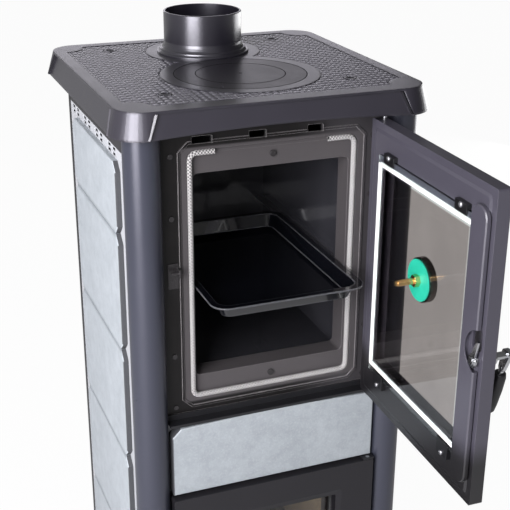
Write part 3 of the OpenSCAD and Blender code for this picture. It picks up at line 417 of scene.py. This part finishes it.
def seam_beads(corners):
    """Beads at ends of the skirt's sides, each given as a side's number and -1 left or 1 right."""
    points, faces = [], []
    quads = [(k, (k + 1) % 4, 4 + (k + 1) % 4, 4 + k) for k in range(4)]
    quads += [(3, 2, 1, 0), (4, 5, 6, 7)]
    for quarter, sx in corners:
        swing = Matrix.Rotation(math.radians(90 * quarter), 4, "Z")
        first = len(points)
        for x, y, z in (seam_top, seam_bottom):
            outline = [(x + seam_slope + seam_lap, y), (x + seam_front, y - seam_proud),
                       (x + seam_foot, y + apron_step), (x + seam_slope + seam_lap, y + apron_step)]
            points += [tuple(swing @ Vector((sx * a, b, z))) for a, b in outline]
        for quad in quads:
            faces.append(tuple(first + k for k in (reversed(quad) if sx > 0 else quad)))
    return points, faces


# Painted highlight: the beads that face the light are coloured bright.
highlit_seam = cast_paint("seam_iron", shade(80, 78, 84), 0.28, 0.00003, Specular_IOR_Level=1.0)
points, faces = seam_beads([(0, -1), (3, 1)])
mesh_piece("skirt_seams_front", points, faces, highlit_seam, "stove", smooth=False)
# Painted shade: the other beads are coloured dark.
shaded_matt_seam = cast_paint("seam_iron_matt", shade(30, 29, 33), 0.6, 0.00003, edge_wear_and_highlight=0.1,
                       Specular_IOR_Level=0.15)
points, faces = seam_beads([(0, 1), (1, -1), (1, 1), (2, -1), (2, 1), (3, -1)])
mesh_piece("skirt_seams_rear", points, faces, shaded_matt_seam, "stove", smooth=False)


# Body: sheet steel folded and welded, painted matt black where it is out of sight, and the
# two round pillars in a satin blue-grey.
def sheet_paint(name, colour, rough, ripple=0.00004, edge=0.0008, edge_wear_and_highlight=0.3, **fixed):
    """Sprayed paint on sheet steel, with a little orange-peel and edges painted lighter as wear and
    painted highlight.
    """
    paint = Finish(name, **fixed)
    cloud = paint.noise(0.09)
    peel = paint.noise(0.0011, 2)
    soft, rim = paint.rounded(edge)
    body = paint.mix(cloud * 0.5, colour, rubbed_and_highlit(colour, 1.12, 0.003))
    # Edges coloured lighter: partly wear, partly a painted highlight.
    body = paint.mix(rim * edge_wear_and_highlight, body, rubbed_and_highlit(colour, 2.6, 0.02))
    paint.set(Base_Color=body, Roughness=cloud * 0.1 + peel * 0.06 + (rough - 0.08),
              Normal=paint.bump(peel, ripple, soft))
    return paint


dress(sheet_paint("black_sheet", shade(22, 22, 25), 0.45), "floor_plate", "rear_post_left",
      "rear_post_right", "back_panel", "front_shelf", "hinge_plates")
dress(sheet_paint("sooty_steel", shade(44, 43, 44), 0.7, 0.0002), "inner_body")
dress(sheet_paint("pillar_satin", shade(50, 52, 62), 0.30, 0.00002,
                  Specular_Tint=violet, Specular_IOR_Level=0.7), "pillar_left", "pillar_right")


# Side sheets and the sheet behind the front tile: light galvanised steel, screwed to the posts.
# Above the tiles the side sheets are pierced with pairs of slots in two rows, and over them the
# plate's shadow is painted on as a dark strip.
vent_rows, vent_high = (cook_z - 0.0912, cook_z - 0.0838), 0.0044
vent_long, vent_pair, vent_first, vent_pitch, vent_groups = 0.016, 0.026, -0.071, 0.074, 4
shadow_low, shadow_high = cook_z - 0.0800, cook_z - 0.0790
silver = sheet_paint("silver_sheet", shade(188, 190, 193), 0.38)
# Painted shadow: the strip under the plate's edge is coloured dark.
painted_shadow_strip = silver.between(silver.along((0, 0, 1)), shadow_low, shadow_high)
silver.set(Base_Color=silver.mix(painted_shadow_strip, silver.given("Base Color"), shade(34, 32, 36)))
dress(silver, "side_sheet_left", "side_sheet_right", "band_backing")


def pierced_sheet(x0, x1, ys, zs, is_hole):
    """Sheet between two x planes, on a grid of y and z values, with some cells left out."""
    solid = {(i, j) for i in range(len(ys) - 1) for j in range(len(zs) - 1) if not is_hole(i, j)}
    points = [(x, y, z) for x in (x0, x1) for y in ys for z in zs]

    def at(side, i, j):
        return (side * len(ys) + i) * len(zs) + j

    faces = []
    for i, j in sorted(solid):
        faces.append((at(0, i, j), at(0, i, j + 1), at(0, i + 1, j + 1), at(0, i + 1, j)))
        faces.append((at(1, i, j), at(1, i + 1, j), at(1, i + 1, j + 1), at(1, i, j + 1)))
        for di, dj, a, b in ((-1, 0, (i, j), (i, j + 1)), (1, 0, (i + 1, j + 1), (i + 1, j)),
                             (0, -1, (i + 1, j), (i, j)), (0, 1, (i, j + 1), (i + 1, j + 1))):
            if (i + di, j + dj) not in solid:
                faces.append((at(0, *a), at(1, *a), at(1, *b), at(0, *b)))
    return points, faces


for side in ("left", "right"):
    low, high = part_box("side_sheet_" + side)
    ys, zs = [low[1]], [low[2]]
    for group in range(vent_groups):
        for k in (-0.5, 0.5):
            middle = vent_first + group * vent_pitch + k * vent_pair
            ys += [middle - vent_long / 2, middle + vent_long / 2]
    for z in vent_rows:
        zs += [z - vent_high / 2, z + vent_high / 2]
    points, faces = pierced_sheet(low[0], high[0], ys + [high[1]], zs + [high[2]],
                                  lambda i, j: i % 2 == 1 and j % 2 == 1)
    piece = mesh_piece("vented_sheet_" + side, points, faces, silver, "stove",
                       smooth=False)
    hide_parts("side_sheet_" + side)


# Stone tiles: slabs of pale grey soapstone with soft clouds and veins, hung on the side sheets
# in a column and set in a dark channel at the front. Their ends are coloured dark as painted shade,
# a grey band of painted shade runs along each joint, and their edges carry a painted highlight.
joint_half, joint_shade_reach = 0.001, 0.008
first_joint, tile_pitch, tile_rows = cook_z - 0.202, 0.182, 4


def soapstone(name, low, high, end_face, joints=()):
    """Pale stone with painted shade on the ends facing along end_face and near each joint, and
    painted highlights on its edges.
    """
    stone = Finish(name, Specular_IOR_Level=0.4)
    cloud = stone.noise(0.05, 6)
    patch = stone.noise(0.017, 5, roughness=0.65)
    fleck = stone.noise(0.0032, 5, roughness=0.7)
    vein = 1 - stone.between(abs(stone.noise(0.16, 3, (1, 1, 0.6)) - 0.5), 0, 0.012)
    soft, rim = stone.rounded(0.0008)
    body = stone.mix(cloud, low, high)
    body = stone.mix(stone.between(patch, 0.35, 0.7) * 0.35, body, rubbed_and_highlit(low, 0.82, 0))
    body = stone.mix(stone.between(fleck, 0.45, 0.75) * 0.35, body, rubbed_and_highlit(high, 1.2, 0))
    body = stone.mix(vein * 0.08, body, shade(140, 147, 153))
    # Painted shade: a grey band along each joint.
    for joint in joints:
        near = 1 - stone.between(abs(stone.along((0, 0, 1)) - joint), joint_half, joint_shade_reach)
        body = stone.mix(near * (patch * 0.5 + 0.25), body, shade(112, 118, 122))
    # Painted highlight: the edges are coloured lighter.
    body = stone.mix(rim * 0.3, body, shade(206, 211, 215))
    # Painted shade: the end faces are coloured dark.
    flat = stone.node("NewGeometry", output="True Normal")
    painted_end_shade = stone.mix(fleck, shade(58, 59, 61), shade(76, 77, 80))
    body = stone.mix(stone.between(stone.dot(flat, end_face), 0.5, 0.65), body, painted_end_shade)
    stone.set(Base_Color=body, Roughness=fleck * 0.2 + 0.42,
              Normal=stone.bump(fleck, 0.00012, soft))
    return stone


dress(soapstone("side_stone", shade(158, 165, 169), shade(186, 192, 196), (0, -1, 0),
                [first_joint - tile_pitch * row for row in range(tile_rows)]),
      "side_tiles_left", "side_tiles_right")
dress(soapstone("band_stone", shade(142, 148, 152), shade(168, 174, 177), (-1, 0, 0)), "band_tile")


# Oven front: a pressed steel frame in dark brown-grey satin paint, with painted shade outside
# the rope and painted highlights on the ribs and round the screws, and the like frame of the
# firebox below it.
front_edge = 0.0012
front = sheet_paint("front_satin", shade(64, 61, 62), 0.30, 0.00005, front_edge, 0.9,
                    Specular_IOR_Level=0.7)
dress(front, "firebox_frame")
oven_front = sheet_paint("oven_front_satin", shade(72, 69, 70), 0.30, 0.00005, front_edge, 0.9,
                         Specular_IOR_Level=0.25)
beside_rope, over_rope, margin_fade = 0.0075, 0.002, 0.004
low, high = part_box("oven_rope")
across, upright = oven_front.along((1, 0, 0)), oven_front.along((0, 0, 1))
outside = abs(across) - (high[0] - low[0]) / 2 - beside_rope
outside = outside.most(abs(upright - (low[2] + high[2]) / 2) - (high[2] - low[2]) / 2 - over_rope)
margin = oven_front.between(outside, 0, margin_fade)
# Painted shade: outside the rope the frame is coloured dark, lighter at the right, with painted
# highlights on its edges.
margin_shade = oven_front.mix(oven_front.noise(0.03), shade(14, 13, 13), shade(28, 26, 26))
margin_shade = oven_front.mix(oven_front.between(across, 0.02, 0.12), margin_shade, shade(58, 56, 58))
margin_shade = oven_front.mix(oven_front.rounded(front_edge)[1] * 0.9, margin_shade, shade(170, 166, 166))
oven_front.set(Base_Color=oven_front.mix(margin, oven_front.given("Base Color"), margin_shade))
dress(oven_front, "oven_frame")


# Small steel parts: pins, runners, screws and the air slider are zinc plated, and the screws
# of the frame and the latch keepers are painted over in the frame's grey, with painted highlights
# on their edges.
def bare_metal(name, grain, dark, light, rough, spread, edge, ripple, stretch=(1, 1, 1), detail=4):
    """Metal with a fine cloudiness in its colour and its gloss."""
    metal = Finish(name, Metallic=1.0)
    cloud = metal.noise(grain, detail, stretch)
    metal.set(Base_Color=metal.mix(cloud, dark, light), Roughness=cloud * spread + rough,
              Normal=metal.bump(cloud, ripple, metal.rounded(edge)[0]))
    return metal


dress(bare_metal("zinc_plate", 0.004, shade(150, 150, 154), shade(196, 196, 199), 0.25, 0.2,
                 0.0004, 0.00002), "hinge_pins", "oven_runners", "oven_clamp_screws", "air_slider")
dress(sheet_paint("keeper_grey", shade(40, 38, 39), 0.26, edge_wear_and_highlight=0.9),
      "frame_screws", "oven_keeper", "firebox_keeper")


# Sealing ropes: round braids of white glass fibre, laid in the step of each frame. The oven's
# rope stops short of the vents over the mouth. Each replaces the plain bar of the CAD model.
lay, strands, braid_sides, strand_high = 0.0046, 4, 40, 0.18
rope_bend, rope_step, bend_steps = 0.010, 0.0006, 6


def sweep(path, ring, closed=False):
    """A bar along a path. Ring gives its outline, and how high each point lies, at a length."""
    count = len(path)
    points, faces, crown, length = [], [], [], 0
    for k, here in enumerate(path):
        ahead = path[(k + 1) % count] if closed or k < count - 1 else here
        behind = path[k - 1] if closed or k else here
        run = (ahead - behind).normalized()
        side = run.cross(Vector((0, 1, 0)))
        if k:
            length += (here - path[k - 1]).length
        outline = ring(length)
        points += [tuple(here + side * a + Vector((0, b, 0))) for a, b, high in outline]
        crown += [high for a, b, high in outline]
    turns = len(outline)
    for k in range(count if closed else count - 1):
        low, high = k * turns, ((k + 1) % count) * turns
        faces += [(low + i, low + (i + 1) % turns, high + (i + 1) % turns, high + i)
                  for i in range(turns)]
    if not closed:
        last = len(points) - turns
        faces += [tuple(range(turns)), tuple(reversed(range(last, len(points))))]
    return points, faces, crown


def loop_path(left, right, low, high, bend, y, pitch, gap=None):
    """Points round a mouth, from the gap in its top edge down the left side and back."""
    start, end = gap or (0, 0)
    corners = [(left + bend, high - bend, 90), (left + bend, low + bend, 180),
               (right - bend, low + bend, 270), (right - bend, high - bend, 0)]
    marks = [Vector((start, y, high))]
    for cx, cz, first in corners:
        for k in range(bend_steps + 1):
            angle = math.radians(first + 90 * k / bend_steps)
            marks.append(Vector((cx + bend * math.cos(angle), y, cz + bend * math.sin(angle))))
    marks.append(Vector((end, y, high)))
    path = []
    for a, b in zip(marks, marks[1:]):
        count = max(1, round((b - a).length / pitch))
        path += [a.lerp(b, k / count) for k in range(count)]
    if gap:
        path.append(marks[-1])
    return path


def braid(radius):
    """Outline of a round braid: strands wind both ways and cross over each other in turn."""
    def ring(s):
        outline = []
        for k in range(braid_sides):
            turn = k / braid_sides
            angle = 2 * math.pi * turn
            high = weave(s / lay + strands * turn, s / lay - strands * turn)
            r = radius * (1 - strand_high + strand_high * high)
            outline.append((r * math.cos(angle), r * math.sin(angle), high))
        return outline
    return ring


rope = Finish("glass_rope", Specular_IOR_Level=0.2)
yarn = rope.noise(0.0007, 2)
dust = rope.noise(0.03)
body = rope.mix(yarn, shade(172, 170, 168), shade(216, 214, 212))
body = rope.mix(rope.between(dust, 0.5, 0.8) * 0.4, body, shade(150, 146, 142))
# Painted shade: the gaps between the strands are coloured dark.
rope.set(Base_Color=rope.mix(rope.between(rope.crown(), 0.3, 0.75), shade(34, 32, 32), body),
         Roughness=yarn * 0.1 + 0.8, Normal=rope.bump(yarn, 0.0003))
for name, gap in (("oven_rope", (-0.086, 0.081)), ("firebox_rope", None)):
    low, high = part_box(name)
    r = (high[1] - low[1]) / 2
    path = loop_path(low[0] + r, high[0] - r, low[2] + r, high[2] - r, rope_bend, low[1] + r,
                     rope_step, gap)
    points, faces, crown = sweep(path, braid(r), gap is None)
    piece = mesh_piece(name + "_braid", points, faces, rope, "stove", crown=crown)
    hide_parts(name)


# Oven: a welded box in dark enamel, dull from use, on zinc runners, and the pressed baking tray
# in glossy black enamel, with a fine orange-peel and a painted highlight along its rim.
enamel = Finish("black_enamel", Coat_Weight=0.6, Coat_Roughness=0.03)
cloud = enamel.noise(0.05)
pinhole = enamel.noise(0.002, 2)
soft, rim = enamel.rounded(0.003)
body = enamel.mix(cloud, shade(8, 9, 13), shade(14, 15, 20))
# Painted highlight: the rounded rim is coloured light.
enamel.set(Base_Color=enamel.mix(rim * 0.85, body, shade(136, 137, 142)),
           Roughness=cloud * 0.05 + 0.1, Normal=enamel.bump(pinhole, 0.00002, soft))
dress(enamel, "oven_tray")
lining = Finish("oven_lining", Coat_Weight=0.4, Coat_Roughness=0.05)
cloud = lining.noise(0.05)
pinhole = lining.noise(0.002, 2)
lining.set(Base_Color=lining.mix(cloud, shade(40, 40, 44), shade(54, 54, 58)),
           Roughness=cloud * 0.06 + 0.12, Normal=lining.bump(pinhole, 0.00003))
dress(lining, "oven_box")


# Doors: pressed steel frames in satin dark grey. Each carries its glass on white tape, held by
# black clips, and the oven door has a strip over the glass on the latch side.
# Painted sheen: the oven door's paint is coloured lighter than the firebox door's.
door = sheet_paint("door_satin", shade(68, 66, 75), 0.32, 0.00004, Specular_IOR_Level=0.7)
# Painted shade: the bottom rail below the glass is coloured near black.
rail_low, rail_high = cook_z - 0.41, cook_z - 0.365
above_rail_shade = door.between(door.along((0, 0, 1)), rail_low, rail_high)
door.set(Base_Color=door.mix(above_rail_shade, shade(24, 23, 25), door.given("Base Color")))
dress(door, "oven_door_frame", "oven_door_strip")
dress(sheet_paint("fire_door_satin", shade(33, 32, 35), 0.32, 0.00004, Specular_IOR_Level=0.3),
      "fire_door_frame", "ash_front")
dress(sheet_paint("clip_black", shade(16, 16, 18), 0.36, edge_wear_and_highlight=0.6),
      "oven_glass_clamps", "fire_glass_clamps")


# Glass: 4 mm ceramic panes, clear and faintly green at the rim where the tape lies, and faintly
# smoked brown over the window. The oven door's pane is found from its closed place, by its hinge.
hinge, door_angle = Vector((0.1532, -0.2115, 0)), math.radians(88.6)
door_x = (math.cos(door_angle), math.sin(door_angle), 0)
door_run = Vector(door_x).dot(hinge) - hinge.x
film_fade = 0.004


def smoked_glass(name, direction, middle, half, low, high):
    """Clear at the rim where the tape lies, faintly smoked over the window."""
    glass = Finish(name, Transmission_Weight=1.0, IOR=1.5, Roughness=0.0)
    across = glass.along(direction) - middle
    tall = glass.along((0, 0, 1))
    film = glass.between(half - abs(across), 0, film_fade)
    film = film * glass.between(tall, low, low + film_fade)
    film = film * (1 - glass.between(tall, high - film_fade, high))
    haze = glass.noise(0.09)
    smoke = glass.mix(haze, shade(146, 140, 138), shade(168, 162, 159))
    clear = glass.mix(haze, shade(236, 244, 242), shade(242, 248, 246))
    glass.set(Base_Color=glass.mix(film, clear, smoke), Roughness=haze * 0.02)
    through = glass.node("BsdfTransparent", None, {"Color": (0.9, 0.92, 0.92, 1)})
    glass.mix_in(glass.node("LightPath", output="Is Shadow Ray"), through)
    return glass


window_left, window_right = -0.1205, 0.1145
window_low, window_high = cook_z - 0.393, cook_z - 0.098
window_middle, window_half = (window_left + window_right) / 2, (window_right - window_left) / 2
dress(smoked_glass("oven_glass", door_x, door_run + window_middle, window_half,
                   window_low, window_high), "oven_door_glass")
fire_window_half, fire_tape_cover = 0.099, 0.007
low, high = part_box("fire_glass_tape")
dress(smoked_glass("fire_glass", (1, 0, 0), 0, fire_window_half,
                   low[2] + fire_tape_cover, high[2] - fire_tape_cover), "fire_door_glass")


# Glass tape: a flat woven band of white glass fibre with fine ribs, under the rim of each pane.
# On the oven door it is folded over, so that it shows on the pane's inner face too.
tape_wide, tape_thick, tape_step, tape_bend, tape_middle = 0.0052, 0.001, 0.0008, 0.001, 0.003
rib, rib_pitch, tape_shoulder, tape_edge = 0.00006, 0.0016, 0.0009, 0.0003
tape_front, fold_away, fold_narrower, fold_thick = -0.1956, 0.0053, 0.0006, 0.0008
tape_y = tape_front + tape_thick / 2
oven_tape_left, oven_tape_right = -0.1277 + tape_middle, 0.122 - tape_middle
oven_tape_low, oven_tape_high = cook_z - 0.397, cook_z - 0.094
tape = Finish("glass_tape", Specular_IOR_Level=0.2)
yarn = tape.noise(0.0006, 2)
tape.set(Base_Color=tape.mix(yarn, shade(238, 237, 234), shade(250, 249, 246)),
         Roughness=yarn * 0.1 + 0.8, Normal=tape.bump(yarn, 0.0002))


def flat_band(width, thick):
    """Outline of a woven band: two flat faces with fine ribs and soft edges."""
    def ring(s):
        top = thick / 2 + rib * math.cos(2 * math.pi * s / rib_pitch) - rib
        edge, pitch = width / 2, (width - 2 * tape_shoulder) / 4
        outline = [(edge, 0), (edge - tape_edge, top * 0.8)]
        outline += [(edge - tape_shoulder - k * pitch, top) for k in range(5)]
        outline += [(-edge + tape_edge, top * 0.8), (-edge, 0), (-edge + tape_edge, -top * 0.8)]
        outline += [(-edge + tape_shoulder + k * pitch, -top) for k in range(5)]
        outline += [(edge - tape_edge, -top * 0.8)]
        return [(a, b, 1) for a, b in outline]
    return ring


def tape_piece(name, path, width, thick, body, pose=None):
    points, faces, flat = sweep(path, flat_band(width, thick), True)
    return mesh_piece(name, points, faces, tape, body, pose)


door_pose = Matrix.Rotation(door_angle, 4, "Z") @ Matrix.Translation(-hinge)
door_pose = Matrix.Translation(hinge) @ door_pose
path = loop_path(oven_tape_left, oven_tape_right, oven_tape_low, oven_tape_high, tape_bend, tape_y,
                 tape_step)
piece = tape_piece("oven_tape_band", path, tape_wide, tape_thick, "oven_door", door_pose)
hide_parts("oven_glass_tape")
fold = [Vector((mark.x, tape_y + fold_away, mark.z)) for mark in path]
tape_piece("oven_tape_fold", fold, tape_wide - fold_narrower, fold_thick, "oven_door", door_pose)
path = loop_path(low[0] + tape_middle, high[0] - tape_middle, low[2] + tape_middle,
                 high[2] - tape_middle, tape_bend, tape_y, tape_step)
piece = tape_piece("fire_tape_band", path, tape_wide, tape_thick, "fire_door")
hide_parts("fire_glass_tape")


# Latches and handles: bright chrome levers and claws. The oven door's handle has a black
# heat-proof grip, and the firebox door's is bare.
dress(bare_metal("bright_chrome", 0.01, shade(196, 197, 199), shade(216, 217, 219), 0.08, 0.06,
                 0.0006, 0.00001),
      "oven_door_latch", "oven_door_handle", "fire_door_latch", "fire_door_handle")
dress(sheet_paint("black_grip", shade(28, 28, 30), 0.45), "oven_door_grip")


# Thermometer: a steel case outside the glass with a white dial and a red needle, and a green
# washer and a brass stem inside that clamp it through a hole in the glass.
def smooth_skin(name, grain, dark, light, rough, **fixed):
    """Paint or rubber without relief, only faintly cloudy."""
    skin = Finish(name, **fixed)
    cloud = skin.noise(grain)
    skin.set(Base_Color=skin.mix(cloud, dark, light), Roughness=cloud * 0.1 + rough)
    return skin


dress(bare_metal("case_steel", 0.002, shade(120, 114, 110), shade(168, 162, 158), 0.22, 0.1,
                 0.0006, 0.00001, (1, 1, 6), 2), "thermometer_case")
dress(smooth_skin("green_washer", 0.01, shade(24, 158, 128), shade(44, 186, 156), 0.45,
                  Specular_IOR_Level=0.4), "thermometer_washer")
dress(bare_metal("turned_brass", 0.004, shade(214, 172, 112), shade(240, 206, 150), 0.18, 0.12,
                 0.0004, 0.00002), "thermometer_stem")
dress(smooth_skin("dial_paint", 0.02, shade(232, 230, 224), shade(240, 239, 234), 0.35),
      "thermometer_dial")
dress(smooth_skin("needle_paint", 0.01, shade(170, 30, 24), shade(190, 40, 30), 0.4),
      "thermometer_needle")


# Firebox lining: refractory bricks, a pressed baffle board and a cast grate lie loose in the
# welded body, and the ash drawer of bare folded sheet slides in under the grate.
brick = Finish("fire_brick", Specular_IOR_Level=0.2)
cloud = brick.noise(0.06)
grit = brick.noise(0.003)
burnt = brick.mix(cloud * 0.6 + grit * 0.3, shade(190, 172, 140), shade(214, 200, 170))
brick.set(Base_Color=burnt, Roughness=grit * 0.1 + 0.85, Normal=brick.bump(grit, 0.0006))
dress(brick, "firebrick_left", "firebrick_right", "firebrick_back", "baffle_plate")
dress(cast_paint("bare_iron", shade(46, 45, 47), 0.6, 0.0003), "grate")
dress(sheet_paint("ash_sheet", shade(58, 58, 62), 0.55), "ash_drawer")
